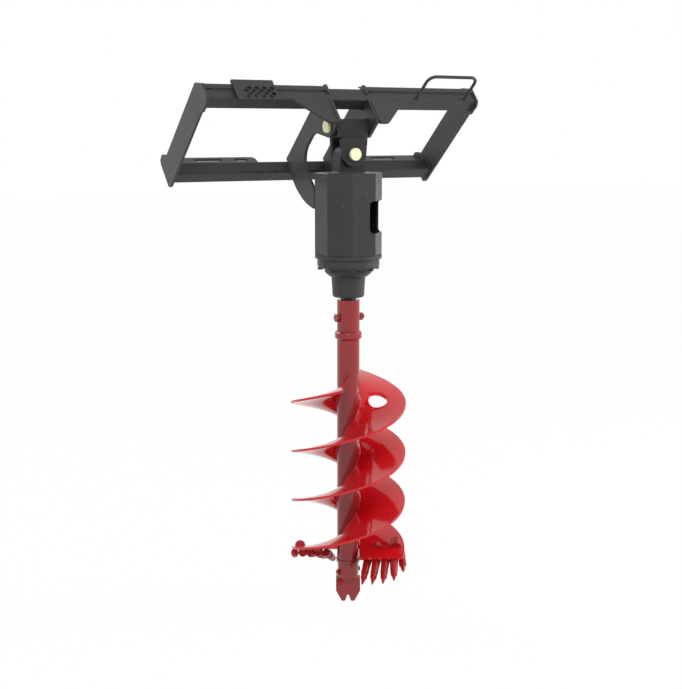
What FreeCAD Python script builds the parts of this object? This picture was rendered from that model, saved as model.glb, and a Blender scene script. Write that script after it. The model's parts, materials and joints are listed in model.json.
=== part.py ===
import FreeCAD, Part
import math
import os

# Earth auger drive on a quick-attach frame, with a double-flight rock auger.
#
# Row frame: millimetres, +Z up, X along the bars of the mounting frame, +Y back
# towards the carrying machine. The origin is the middle of the frame's rear
# plane, where the machine's attach plate bears. The frame leans forward by
# frameLean, the drive and the auger hang plumb from it.

# ---- mounting frame, in its own upright coordinates --------------------------
# (x across, y back from the front face of the tubes, z up from the top face)
frameLean = 48.0          # degrees that the frame leans forward
frameWidth = 1184.0       # over the end plates
frameDepth = 111.0        # front face of the tubes to the rear plane
frameDatumDrop = 250.0    # top face down to the origin
endPlateThick = 9.5
endPlateHeight = 506.0
topTube = 58.0            # side of the square top tube
topTubeWall = 6.0
bottomTube = 57.0         # side of the square bottom tube
bottomTubeWall = 6.0
bottomTubeSetback = 6.0   # bottom tube's front face behind the top tube's
bottomTubeDrop = 423.0    # top face of the frame to the top of the bottom tube
tubeCorner = 7.0          # outside corner radius of both tubes
hookLipThick = 6.0
hookLipFlat = 16.0        # stretch of the lip that lies on the top tube
hookLipReach = 46.0       # how far the lip runs back past the tube
latchPlateThick = 9.5
latchPlateSlope = 22.5    # degrees that the latch plates fall to the rear
latchPlateLength = 74.0
latchPlateInner = 195.0   # middle of the frame to the inner end of a plate
latchPlateDrop = 29.0     # top of the bottom tube to the plate's upper face
latchSlotWidth = 20.0
latchSlots = ((405.0, 121.0), (262.0, 62.0))   # middle across, length

# ---- centre side plates, gussets, step and handle ----------------------------
sidePlateGap = 156.0      # between the two centre side plates
sidePlateThick = 12.0
sidePlateBack = 74.0      # rear edge behind the front face of the tubes
lugReach = 106.0          # front edge of the upper lug ahead of the tubes
earRise = 6.0             # top ear above the top tube
earFront = 29.0
cradleReach = 226.0       # tip of the cradle horn ahead of the tubes
cradleBottom = 437.0
throatFront = 5.0         # front edge of the web between lug and horn
gussetThick = 10.0
gussetReach = 114.0
gussetLength = 153.0      # along the tube from the side plate
gussetNose = 27.0
stepWidth = 168.0
stepMiddle = -391.0       # across from the middle of the frame
stepFront = -15.0
stepBack = 80.0
stepRise = 8.0            # underside above the top tube
stepThick = 4.0
handleBar = 12.7          # diameter of the grab handle's bar
handleInner = 303.0
handleOuter = 530.0
handleHeight = 122.0      # centre line above the top tube
handleBend = 32.0
handleSetback = 9.0

# ---- pins and hanger -----------------------------------------------------------
pinDiameter = 38.1
pinHead = 48.0            # diameter of the pins' round heads
pinFit = 0.05             # radial running clearance of both pins
bushWall = 3.0
upperPinForward = 65.0    # ahead of the front face of the tubes
upperPinDrop = 77.0       # below the top face of the frame
upperPinOverhang = 11.0
pinSpacing = 105.0        # upper pin down to lower pin
lowerPinOverhang = 11.0
hangerWidth = 132.0
hangerDepth = 60.0
hangerTop = 28.0          # above the upper pin
hangerBottom = 43.0       # below the upper pin
cheekThick = 18.0         # front and rear plates of the lower clevis
cheekTopWidth = 114.0
cheekRadius = 47.0
cheekLap = 0.0           # how far the cheeks rise past the block's underside
sideGap = 0.3             # end play beside spacers, cheeks and tongue
flagThick = 8.0
flagLength = 72.0
flagWidth = 40.0
flagBolt = 12.0
flagBoltAt = 40.0         # from the pin's axis to the keeper bolt
flagBoltBite = 10.0

# ---- hood and tongue ----------------------------------------------------------
hoodFlats = 241.3         # across flats of the octagonal hood
hoodWall = 6.0
hoodTop = 175.0           # below the upper pin
hoodHeight = 315.0
hoodRoof = 12.0
hoodFootThick = 14.0      # ring inside the hood's lower end
hoodFootBore = 90.0
hoodWindowLow = 403.0     # below the upper pin
hoodWindowHigh = 280.0
hoodWindowWrap = 25.5     # past the facet on to the two neighbours
hoodWindowCorner = 15.0
tongueThick = 59.0
tongueFoot = 114.0        # width where it stands on the roof
tongueRadius = 46.0

# ---- hydraulic motor -----------------------------------------------------------
motorFlange = 118.0
motorFlangeThick = 16.0
motorRadius = 52.0
motorFrontHeight = 62.0
motorGerotorHeight = 34.0
motorSpacer = 6.0
motorCapHeight = 56.0
motorBoltCircle = 41.0
motorBolt = 10.0
inputShaftRadius = 14.0
motorMountSpread = 88.0   # between the motor's mounting bolts, both ways
motorMountBolt = 12.0
portRadius = 10.3
portDepth = 20.0
portSpread = 44.0         # between the middles of the two ports
portBoss = 17.0
portFace = 66.0           # port faces out from the axis
portTurn = -45.0          # plan angle that the ports face, towards the window

# ---- planetary gearbox ---------------------------------------------------------
coverRadius = 130.0
coverThick = 13.5
ringRadius = 121.0
ringHeight = 27.5
gearModule = 2.5
sunTeeth = 18
planetTeeth = 27
ringTeeth = sunTeeth + 2 * planetTeeth
planetCount = 3
backlash = 0.22           # taken off each tooth's thickness
gearWidth = 24.0
planetPin = 20.0
bellFlange = 8.0          # flange of the output housing under the ring gear
bellRadius = 94.0
bellHeight = 22.0
bellFloor = 11.0          # floor of the carrier's chamber above the bell's lower end
snoutRadius = 66.0
snoutHeight = 94.0        # below the bell
snoutTaper = 4.0
bellWall = 9.0
carrierRadius = 80.0
carrierThick = 12.0
bearingWidth = 22.0
bearingFit = 0.05
sealHeight = 10.0
bearingOuterRadius = 56.0
bearingTrack = 46.0       # mean radius between cup and cone
bearingTaper = 2.0
sealOuterRadius = 50.0
shaftRadius = 35.0
shaftHex = 50.8           # across flats
shaftGap = 11.5           # bare shaft between snout and auger collar
shaftSocket = 112.0       # length of hex inside the collar
coverBolts = 8
coverBoltCircle = 110.0
coverBolt = 12.0

# ---- auger ---------------------------------------------------------------------
augerRadius = 228.6       # 18 inch auger
stemRadius = 44.45
stemWall = 8.0
socketClearance = 0.3
collarLength = 125.0
collarSlotWidth = 18.0
collarSlotLength = 110.0
collarSlotDeep = 2.5
collarSlotTurn = -29.5    # from facing straight forward
collarBolt = 19.0
collarBoltDrop = 70.0     # below the collar's top
collarBoltTurn = 0.0      # plan angle of the cross bolt
ringFlangeRadius = 53.0
ringFlangeHeight = 31.0
flightLead = 400.0        # rise in one full turn of one flight
flightSweep = 625.0       # degrees that each flight covers
flightThick = 9.5
flightStart = -29.5       # plan angle of the first flight's lower end
flightTopDrop = 319.0     # collar top down to the flights' upper ends
stemTail = 45.0           # stem below the flights' lower ends
liftHole = 75.0           # diameter of the hole in one flight
liftHoleRadius = 118.0
liftHoleTurn = 82.0       # degrees back from that flight's upper end

# ---- cutting head --------------------------------------------------------------
edgeWidth = 72.0          # cutting edge ahead of the flight's end
edgeThick = 12.0
edgePitch = 23.0          # degrees that the cutting edge dips forward
# tips of the teeth: radius, ahead of the flight's end, below it
toothTips = ((55.0, 141.0, 106.0), (94.0, 158.0, 99.0), (136.0, 168.0, 92.0),
             (180.0, 166.0, 80.0), (220.0, 98.0, 69.0))
holderRadii = (88.0, 122.0, 156.0, 186.0, 216.5)   # back ends, from the auger's axis
holderBack = 4.0          # behind the flight's end
holderDrop = 22.0         # and below it
holderRadius = 15.0
holderShare = 0.66        # of the way from back end to tip
# round backs that stand up behind the flight's end: holder, radius out, size, rise
holderBacks = ((1, 122.0, 13.0, 3.0), (2, 156.0, 16.0, 11.0), (3, 194.0, 20.0, 17.0))
holderBackReach = 28.0
toothShank = 8.0
toothRadius = 11.0
pilotRing = 12.0
pilotHubRadius = 42.0
pilotHubHeight = 80.0
pilotBladeHeight = 100.0
pilotBladeWidth = 98.0
pilotBladeThick = 30.0
pilotBolt = 12.0


V = FreeCAD.Vector
axisX = V(1, 0, 0)
axisY = V(0, 1, 0)
axisZ = V(0, 0, 1)
flagWay = V(0, 0, -1)     # the upper keeper flag lies along the frame's slope

# ---- places that several pieces share ------------------------------------------
pinRadius = pinDiameter / 2
tubeSpan = frameWidth - 2 * endPlateThick
sidePlateInner = sidePlateGap / 2
sidePlateOuter = sidePlateInner + sidePlateThick
lowerPinZ = -pinSpacing
hoodTopZ = -hoodTop
hoodBottomZ = hoodTopZ - hoodHeight
coverBottomZ = hoodBottomZ - coverThick
ringBottomZ = coverBottomZ - ringHeight
flangeBottomZ = ringBottomZ - bellFlange
bellBottomZ = flangeBottomZ - bellHeight
snoutBottomZ = bellBottomZ - snoutHeight
collarTopZ = snoutBottomZ - shaftGap
collarBottomZ = collarTopZ - collarLength
ringFlangeBottomZ = collarBottomZ - ringFlangeHeight
flightTopZ = collarTopZ - flightTopDrop
flightBottomZ = flightTopZ - flightLead * flightSweep / 360
stemBottomZ = flightBottomZ - stemTail
planetOrbit = gearModule * (sunTeeth + planetTeeth) / 2
gearTopZ = coverBottomZ - 2.5
gearBottomZ = gearTopZ - gearWidth
carrierTopZ = gearBottomZ - 1.5
motorStackZ = hoodBottomZ + motorFrontHeight
motorCapZ = motorStackZ + motorGerotorHeight
lowerBearingZ = snoutBottomZ + sealHeight
upperBearingZ = bellBottomZ + bellFloor - bearingWidth


# ---- general shapes --------------------------------------------------------------
def block(x0, x1, y0, y1, z0, z1):
    return Part.makeBox(x1 - x0, y1 - y0, z1 - z0, V(x0, y0, z0))


def rod(radius, start, end):
    """A cylinder between two points."""
    way = end - start
    return Part.makeCylinder(radius, way.Length, start, way)


def sleeve(inner, outer, z0, z1):
    """A ring about Z."""
    body = rod(outer, V(0, 0, z0), V(0, 0, z1))
    return body.cut(rod(inner, V(0, 0, z0 - 1), V(0, 0, z1 + 1)))


def pipe(inner, outer, start, end):
    """A round sleeve between two points."""
    way = (end - start).normalize()
    return rod(outer, start, end).cut(rod(inner, start - way, end + way))


def roundedWire(corners, place):
    """A closed outline of (u, v, corner radius), set in space by place(u, v)."""
    count = len(corners)
    ins = []
    for i, (u, v, radius) in enumerate(corners):
        before = V(corners[i - 1][0], corners[i - 1][1], 0)
        here = V(u, v, 0)
        after = V(corners[(i + 1) % count][0], corners[(i + 1) % count][1], 0)
        toBefore = (before - here).normalize()
        toAfter = (after - here).normalize()
        if radius <= 0:
            ins.append((here, None, here))
            continue
        half = toBefore.getAngle(toAfter) / 2
        back = radius / math.tan(half)
        bisector = (toBefore + toAfter).normalize()
        middle = here + bisector * (radius / math.sin(half) - radius)
        ins.append((here + toBefore * back, middle, here + toAfter * back))
    edges = []
    for i, (start, middle, end) in enumerate(ins):
        if middle is not None:
            edges.append(Part.Arc(place(start), place(middle), place(end)).toShape())
        follow = ins[(i + 1) % count][0]
        if (follow - end).Length > 1e-6:
            edges.append(Part.makeLine(place(end), place(follow)))
    return Part.Wire(edges)


def plateX(corners, x0, x1):
    """A flat plate whose outline is given in (y, z), between two x."""
    wire = roundedWire(corners, lambda p: V(x0, p.x, p.y))
    return Part.Face(wire).extrude(V(x1 - x0, 0, 0))


def plateY(corners, y0, y1):
    """A flat plate whose outline is given in (x, z), between two y."""
    wire = roundedWire(corners, lambda p: V(p.x, y0, p.y))
    return Part.Face(wire).extrude(V(0, y1 - y0, 0))


def plateZ(corners, z0, z1):
    """A flat plate whose outline is given in (x, y), between two z."""
    wire = roundedWire(corners, lambda p: V(p.x, p.y, z0))
    return Part.Face(wire).extrude(V(0, 0, z1 - z0))


def squareTube(side, wall, corner, x0, x1):
    """A square tube along X, with one corner of its section at y = 0, z = 0."""
    outer = plateX([(0, 0, corner), (side, 0, corner), (side, -side, corner), (0, -side, corner)], x0, x1)
    low = wall
    high = side - wall
    inner = [(low, -low, 1), (high, -low, 1), (high, -high, 1), (low, -high, 1)]
    return outer.cut(plateX(inner, x0 - 1, x1 + 1))


def hexBar(flats, z0, z1):
    corner = flats / math.sqrt(3)
    turns = [math.radians(30 + 60 * i) for i in range(7)]
    points = [V(corner * math.cos(turn), corner * math.sin(turn), z0) for turn in turns]
    return Part.Face(Part.makePolygon(points)).extrude(V(0, 0, z1 - z0))


def octagon(flats, z0, z1):
    corner = flats / 2 / math.cos(math.radians(22.5))
    points = []
    for i in range(9):
        angle = math.radians(22.5 + 45 * i)
        points.append(V(corner * math.cos(angle), corner * math.sin(angle), z0))
    return Part.Face(Part.makePolygon(points)).extrude(V(0, 0, z1 - z0))


def turned(profile):
    """A solid of revolution about Z from a list of (radius, z)."""
    points = [V(r, 0, z) for r, z in profile]
    face = Part.Face(Part.makePolygon(points + points[:1]))
    return face.revolve(V(0, 0, 0), axisZ, 360)


def hexBolt(size, start, way, length, headAcross, headHigh):
    """A hexagon-headed bolt: the head's underside is at start, the shank runs along way."""
    head = hexBar(headAcross, 0, headHigh)
    shank = rod(size / 2, V(0, 0, 0), V(0, 0, -length))
    bolt = head.fuse(shank)
    bolt.Placement = FreeCAD.Placement(start, FreeCAD.Rotation(axisZ, way * -1))
    return bolt


# ---- where the assemblies sit ------------------------------------------------------
def leanFrame(shape):
    """From the frame's upright coordinates to the row frame."""
    moved = shape.copy()
    moved.translate(V(0, -frameDepth, frameDatumDrop))
    moved.rotate(V(0, 0, 0), axisX, frameLean)
    return moved


def framePoint(x, y, z):
    """One point of the frame's upright coordinates in the row frame."""
    turn = FreeCAD.Rotation(axisX, frameLean)
    return turn.multVec(V(x, y - frameDepth, z + frameDatumDrop))


upperPinAt = framePoint(0, -upperPinForward, -upperPinDrop)


def hang(shape):
    """From coordinates with the upper pin at the origin to the row frame."""
    moved = shape.copy()
    moved.translate(upperPinAt)
    return moved


# ---- mounting frame ------------------------------------------------------------------
def topTubePiece():
    return squareTube(topTube, topTubeWall, tubeCorner, -tubeSpan / 2, tubeSpan / 2)


def bottomTubePiece():
    tube = squareTube(bottomTube, bottomTubeWall, tubeCorner, -tubeSpan / 2, tubeSpan / 2)
    tube.translate(V(0, bottomTubeSetback, -bottomTubeDrop))
    return tube


def endPlate(side):
    """Profile plate at one end, with the sloping shoulder and the lower hook."""
    inner = side * tubeSpan / 2
    outer = side * frameWidth / 2
    bottom = -endPlateHeight
    corners = [(-2, 4, 0), (64, 6, 4), (frameDepth, -40, 4), (frameDepth, -440, 10),
               (131, -455, 3), (145, -472, 6), (141, bottom + 6, 8), (124, bottom, 8),
               (8, bottom, 8), (-2, bottom + 18, 8), (-3, -74, 0), (-12, -62, 3), (-14, -14, 6)]
    return plateX(corners, min(inner, outer), max(inner, outer))


def hookLip(side):
    """Bent strip along the top: a flat on the tube and a flange falling back at 45 degrees."""
    bend = topTube + hookLipThick * math.tan(math.radians(22.5))
    slant = hookLipThick / math.sqrt(2)
    endY = topTube + hookLipReach
    endZ = -(hookLipReach - hookLipThick * math.tan(math.radians(22.5)))
    start = topTube - hookLipFlat
    corners = [(start, 0, 0), (start, hookLipThick, 0), (bend + 1, hookLipThick, 5),
               (endY, endZ + hookLipThick + 1, 1), (endY - slant, endZ + hookLipThick + 1 - slant, 1),
               (topTube + 0.8, 0, 0)]
    x0, x1 = sorted((side * sidePlateOuter, side * tubeSpan / 2))
    return plateX(corners, x0, x1)


def latchPlate(side):
    """Sloping plate behind the bottom tube with the slots for the machine's latch pins."""
    corners = [(latchPlateInner, 0, 0), (tubeSpan / 2, 0, 0), (tubeSpan / 2, latchPlateLength, 0),
               (latchPlateInner, latchPlateLength, 18)]
    plate = plateZ(corners, -latchPlateThick, 0)
    middle = latchPlateLength - 24
    for across, length in latchSlots:
        half = length / 2
        width = latchSlotWidth / 2
        slot = plateZ([(across - half, middle - width, width - 0.01), (across + half, middle - width, width - 0.01),
                       (across + half, middle + width, width - 0.01), (across - half, middle + width, width - 0.01)],
                      -latchPlateThick - 1, 1)
        plate = plate.cut(slot)
    plate.rotate(V(0, 0, 0), axisX, -latchPlateSlope)
    rear = bottomTubeSetback + bottomTube + latchPlateThick * math.sin(math.radians(latchPlateSlope))
    plate.translate(V(0, rear, -bottomTubeDrop - latchPlateDrop))
    if side < 0:
        plate = plate.mirror(V(0, 0, 0), axisX)
    return plate


def sidePlate(side):
    """Hook-shaped centre plate: pin lug above, web behind, cradle horn below."""
    corners = [(-lugReach, 0, 6), (earFront, 0, 0), (earFront, earRise, 2),
               (sidePlateBack, earRise, 5), (sidePlateBack, -bottomTubeDrop, 0),
               (bottomTubeSetback, -bottomTubeDrop, 0), (bottomTubeSetback, -cradleBottom, 0),
               (-135, -cradleBottom, 300), (-cradleReach, -374, 5), (-170, -325, 5),
               (-throatFront, -330, 80), (-throatFront, -176, 58), (-lugReach, -98, 16)]
    inner = side * sidePlateInner
    outer = side * sidePlateOuter
    plate = plateX(corners, min(inner, outer), max(inner, outer))
    tube = plateX([(0, 0, tubeCorner), (topTube, 0, tubeCorner), (topTube, -topTube, tubeCorner),
                   (0, -topTube, tubeCorner)], -sidePlateOuter - 1, sidePlateOuter + 1)
    plate = plate.cut(tube)
    pin = V(0, -upperPinForward, -upperPinDrop)
    plate = plate.cut(rod(pinRadius, pin - axisX * (sidePlateOuter + 1), pin + axisX * (sidePlateOuter + 1)))
    if side > 0:
        keeper = pin + flagWay * flagBoltAt
        plate = plate.cut(rod(flagBolt / 2, keeper, keeper + axisX * (sidePlateOuter + 1)))
    return plate


def gusset(side):
    """Corner plate between the top tube and a centre side plate."""
    near = sidePlateOuter
    far = near + gussetLength
    corners = [(near, 0, 0), (far, 0, 0), (near + gussetNose + 12, -gussetReach, 34), (near, -gussetReach, 3)]
    plate = plateZ(corners, -gussetThick, 0)
    corner = block(near - 1, far + 1, -tubeCorner, tubeCorner, -gussetThick - 1, 1)
    plate = plate.cut(corner.common(squareFront()))
    if side < 0:
        plate = plate.mirror(V(0, 0, 0), axisX)
    return plate


def squareFront():
    """Solid section of the top tube, used to fit plates against it."""
    return plateX([(0, 0, tubeCorner), (topTube, 0, tubeCorner), (topTube, -topTube, tubeCorner),
                   (0, -topTube, tubeCorner)], -tubeSpan / 2, tubeSpan / 2)


def stepPlate():
    """Grip tread on two side flanges that stand on the top tube."""
    half = stepWidth / 2
    top = block(-half, half, stepFront, stepBack, stepRise, stepRise + stepThick)
    lipFront = topTube - hookLipFlat - 0.3
    for side in (-1, 1):
        x0, x1 = sorted((side * half, side * (half - stepThick)))
        top = top.fuse(block(x0, x1, stepFront, lipFront, 0, stepRise))
        top = top.fuse(block(x0, x1, lipFront, stepBack, hookLipThick + 0.3, stepRise))
    top.translate(V(stepMiddle, 0, 0))
    return top.removeSplitter()


def grabHandle():
    """Round bar bent to a hoop, standing on the top tube."""
    def at(x, z):
        return V(x, handleSetback, z)
    turn = handleBend * (1 - math.sqrt(0.5))
    straightLeft = Part.makeLine(at(handleInner, 0), at(handleInner, handleHeight - handleBend))
    bendLeft = Part.Arc(at(handleInner, handleHeight - handleBend), at(handleInner + turn, handleHeight - turn),
                        at(handleInner + handleBend, handleHeight)).toShape()
    top = Part.makeLine(at(handleInner + handleBend, handleHeight), at(handleOuter - handleBend, handleHeight))
    bendRight = Part.Arc(at(handleOuter - handleBend, handleHeight), at(handleOuter - turn, handleHeight - turn),
                         at(handleOuter, handleHeight - handleBend)).toShape()
    straightRight = Part.makeLine(at(handleOuter, handleHeight - handleBend), at(handleOuter, 0))
    path = Part.Wire([straightLeft, bendLeft, top, bendRight, straightRight])
    ring = Part.Wire(Part.makeCircle(handleBar / 2, at(handleInner, 0), axisZ))
    return path.makePipeShell([ring], True, True)


# ---- pins -------------------------------------------------------------------------------
def pinPiece(start, end, headHeight, way):
    """A pivot pin along X or Y: a round head outside `start`, a plain shank to `end`."""
    shank = rod(pinRadius, way * start, way * end)
    head = rod(pinHead / 2, way * (start - headHeight), way * start)
    rim = [edge for edge in head.Edges if abs(edge.CenterOfMass.dot(way) - (start - headHeight)) < 0.01]
    return shank.fuse(head.makeChamfer(1.5, rim))


def keeperFlag():
    """Keeper plate in (x, y): the pin's end at the origin, the bolt hole at the far end."""
    half = flagWidth / 2
    corners = [(-half, -half, half - 0.01), (flagBoltAt + 15, -half, 10),
               (flagBoltAt + 15, half, 10), (-half, half, half - 0.01)]
    plate = plateZ(corners, 0, flagThick)
    return plate.cut(rod(flagBolt / 2 + 0.5, V(flagBoltAt, 0, -1), V(flagBoltAt, 0, flagThick + 1)))


def keeperBolt():
    """Bolt that holds a keeper flag, in the flag's coordinates."""
    return hexBolt(flagBolt, V(flagBoltAt, 0, flagThick), V(0, 0, -1), flagThick + flagBoltBite, 19, 8)


def onUpperPinEnd(shape):
    """From flag coordinates to the right-hand side plate, with the flag pointing down and back."""
    moved = shape.copy()
    moved.rotate(V(0, 0, 0), axisY, 90)
    moved.rotate(V(0, 0, 0), axisX, frameLean)
    moved.translate(V(sidePlateOuter, 0, 0))
    return moved


def onLowerPinEnd(shape):
    """From flag coordinates to the rear cheek of the hanger, with the flag pointing up."""
    moved = shape.copy()
    moved.rotate(V(0, 0, 0), axisX, -90)
    moved.rotate(V(0, 0, 0), axisY, -90)
    moved.translate(V(0, hangerDepth / 2 + cheekThick, lowerPinZ))
    return moved


def upperPin():
    """Headed pin through both side plates, with the keeper flag welded to its far end."""
    pin = pinPiece(-sidePlateOuter, sidePlateOuter, upperPinOverhang, axisX)
    return pin.fuse(onUpperPinEnd(keeperFlag())).removeSplitter()


def lowerPin():
    """Headed pin through both cheeks and the tongue, with its keeper flag behind."""
    half = hangerDepth / 2 + cheekThick
    pin = pinPiece(-half, half, lowerPinOverhang, axisY)
    pin.translate(V(0, 0, lowerPinZ))
    return pin.fuse(onLowerPinEnd(keeperFlag())).removeSplitter()


# ---- hanger -------------------------------------------------------------------------------
def hangerBlock():
    """Block on the upper pin, bored for the bush."""
    half = hangerWidth / 2
    deep = hangerDepth / 2
    corners = [(-deep, -hangerBottom, 0), (-deep, hangerTop, 9), (deep, hangerTop, 9), (deep, -hangerBottom, 0)]
    body = plateX(corners, -half, half)
    bore = pinRadius + pinFit + bushWall
    return body.cut(rod(bore, V(-half - 1, 0, 0), V(half + 1, 0, 0)))


def hangerCheek(side):
    """Clevis plate welded under the block, rounded about the lower pin."""
    near = side * (hangerDepth / 2)
    far = side * (hangerDepth / 2 + cheekThick)
    top = -hangerBottom + cheekLap
    half = cheekTopWidth / 2
    low = lowerPinZ - cheekRadius
    corners = [(-half, top, 6), (half, top, 6), (cheekRadius, low, cheekRadius - 0.5),
               (-cheekRadius, low, cheekRadius - 0.5)]
    plate = plateY(corners, min(near, far), max(near, far))
    bolt = V(0, 0, lowerPinZ + flagBoltAt)
    plate = plate.cut(rod(pinRadius, V(0, near - side, lowerPinZ), V(0, far + side, lowerPinZ)))
    if side > 0:
        drill = bolt + axisY * (far - flagBoltBite)
        plate = plate.cut(rod(flagBolt / 2, drill, bolt + axisY * (far + 1)))
    return plate


def upperBush():
    half = hangerWidth / 2
    inner = pinRadius + pinFit
    return pipe(inner, inner + bushWall, V(-half, 0, 0), V(half, 0, 0))


def upperSpacers():
    """Thrust washers between the hanger and the two side plates."""
    inner = pinRadius + pinFit
    near = hangerWidth / 2 + sideGap
    far = sidePlateInner - sideGap
    return [pipe(inner, inner + 12, V(side * near, 0, 0), V(side * far, 0, 0)) for side in (-1, 1)]


# ---- tongue and hood -------------------------------------------------------------------------
def tongue():
    """Tapered lug on the hood's roof, bored for the lower pin's bush."""
    deep = tongueThick / 2
    top = lowerPinZ + tongueRadius
    foot = tongueFoot / 2
    corners = [(-foot, hoodTopZ, 0), (-tongueRadius, top, tongueRadius - 0.5),
               (tongueRadius, top, tongueRadius - 0.5), (foot, hoodTopZ, 0)]
    body = plateY(corners, -deep, deep)
    bore = pinRadius + pinFit + bushWall
    return body.cut(rod(bore, V(0, -deep - 1, lowerPinZ), V(0, deep + 1, lowerPinZ)))


def lowerBush():
    deep = tongueThick / 2
    inner = pinRadius + pinFit
    return pipe(inner, inner + bushWall, V(0, -deep, lowerPinZ), V(0, deep, lowerPinZ))


def windowCutter():
    """Rounded window as wide as one diagonal facet and a little of its neighbours."""
    side = hoodFlats * math.tan(math.radians(22.5))
    across = side / 2 + hoodWindowWrap / math.sqrt(2)
    corners = [(-across, -hoodWindowLow, hoodWindowCorner), (across, -hoodWindowLow, hoodWindowCorner),
               (across, -hoodWindowHigh, hoodWindowCorner), (-across, -hoodWindowHigh, hoodWindowCorner)]
    inner = hoodFlats / 2 - hoodWindowWrap - 12
    cutter = plateY(corners, -hoodFlats, -inner)
    cutter.rotate(V(0, 0, 0), axisZ, 45)
    return cutter


def hoodShell():
    """Eight-sided folded casing with the hose window in its front right corner."""
    outer = octagon(hoodFlats, hoodBottomZ, hoodTopZ - hoodRoof)
    inner = octagon(hoodFlats - 2 * hoodWall, hoodBottomZ - 1, hoodTopZ)
    return outer.cut(inner).cut(windowCutter())


def hoodRoofPlate():
    roof = octagon(hoodFlats, hoodTopZ - hoodRoof, hoodTopZ)
    edges = [e for e in roof.Edges if abs(e.CenterOfMass.z - hoodTopZ) < 0.01]
    return roof.makeChamfer(3.0, edges)


def coverBoltPlaces():
    places = []
    for i in range(coverBolts):
        angle = math.radians(360 / coverBolts * (i + 0.5))
        places.append(V(coverBoltCircle * math.cos(angle), coverBoltCircle * math.sin(angle), 0))
    return places


def hoodFoot():
    """Ring inside the lower end of the hood that takes the gearbox bolts."""
    ring = octagon(hoodFlats - 2 * hoodWall, hoodBottomZ, hoodBottomZ + hoodFootThick)
    ring = ring.cut(rod(hoodFootBore, V(0, 0, hoodBottomZ - 1), V(0, 0, hoodBottomZ + hoodFootThick + 1)))
    for place in coverBoltPlaces():
        ring = ring.cut(rod(coverBolt / 2, place + axisZ * (hoodBottomZ - 1),
                            place + axisZ * (hoodBottomZ + hoodFootThick + 1)))
    return ring


# ---- motor -------------------------------------------------------------------------------------
def motorFront():
    """Front housing with a square mounting flange and a round body."""
    half = motorFlange / 2
    low = hoodBottomZ
    corners = [(-half, -half, 16), (half, -half, 16), (half, half, 16), (-half, half, 16)]
    flange = plateZ(corners, low, low + motorFlangeThick)
    body = rod(motorRadius, V(0, 0, low), V(0, 0, low + motorFrontHeight))
    body = flange.fuse(body)
    body = body.cut(rod(inputShaftRadius + 1.5, V(0, 0, low - 1), V(0, 0, low + motorFrontHeight + 1)))
    for x in (-1, 1):
        for y in (-1, 1):
            at = V(x * motorMountSpread / 2, y * motorMountSpread / 2, low)
            body = body.cut(rod(motorMountBolt / 2, at - axisZ, at + axisZ * (motorFlangeThick + 1)))
            body = body.cut(rod(motorMountBolt + 2, at + axisZ * motorFlangeThick, at + axisZ * 40))
    return body


def motorStack():
    """Gerotor ring between its two wear plates."""
    low = motorStackZ
    ring = rod(motorRadius - 3, V(0, 0, low), V(0, 0, low + motorGerotorHeight))
    plates = rod(motorRadius, V(0, 0, low), V(0, 0, low + motorSpacer))
    upper = plates.copy()
    upper.translate(V(0, 0, motorGerotorHeight - motorSpacer))
    body = ring.fuse([plates, upper])
    body = body.cut(rod(inputShaftRadius + 1.5, V(0, 0, low - 1), V(0, 0, low + motorGerotorHeight + 1)))
    return body.cut(motorBolts())


def motorCap():
    """Port housing with two threaded ports that face the hose window."""
    low = motorCapZ
    body = rod(motorRadius, V(0, 0, low), V(0, 0, low + motorCapHeight))
    boss = block(0, portFace, -portSpread / 2 - portBoss, portSpread / 2 + portBoss, low, low + motorCapHeight)
    boss = boss.common(rod(portFace + 12, V(0, 0, low), V(0, 0, low + motorCapHeight)))
    body = body.fuse(boss).removeSplitter()
    middle = low + motorCapHeight / 2
    for side in (-1, 1):
        at = V(portFace, side * portSpread / 2, middle)
        body = body.cut(rod(portRadius, at - axisX * portDepth, at + axisX))
    body.rotate(V(0, 0, 0), axisZ, portTurn)
    return body.cut(motorBolts())


def motorBolts():
    """Long bolts that clamp the motor's sections together, heads on the port housing."""
    bolts = []
    top = motorCapZ + motorCapHeight
    for i in range(6):
        angle = math.radians(60 * i + 30)
        at = V(motorBoltCircle * math.cos(angle), motorBoltCircle * math.sin(angle), top)
        bolts.append(hexBolt(motorBolt, at, V(0, 0, -1), motorCapHeight + motorGerotorHeight, 16, 7))
    return bolts


def motorMountBolts():
    bolts = []
    for x in (-1, 1):
        for y in (-1, 1):
            at = V(x * motorMountSpread / 2, y * motorMountSpread / 2, hoodBottomZ + motorFlangeThick)
            bolts.append(hexBolt(motorMountBolt, at, V(0, 0, -1), motorFlangeThick + coverThick - 4, 18, 8))
    return bolts


def motorShaft():
    """Motor shaft with the sun pinion on its lower end."""
    low = gearBottomZ
    gear = gearSolid(sunTeeth, gearTopZ - low, low, 90.0)
    shaft = rod(inputShaftRadius, V(0, 0, gearTopZ), V(0, 0, motorCapZ - 2))
    return gear.fuse(shaft)


# ---- gears ---------------------------------------------------------------------------------------
def involute(angle):
    return math.tan(angle) - angle


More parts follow.
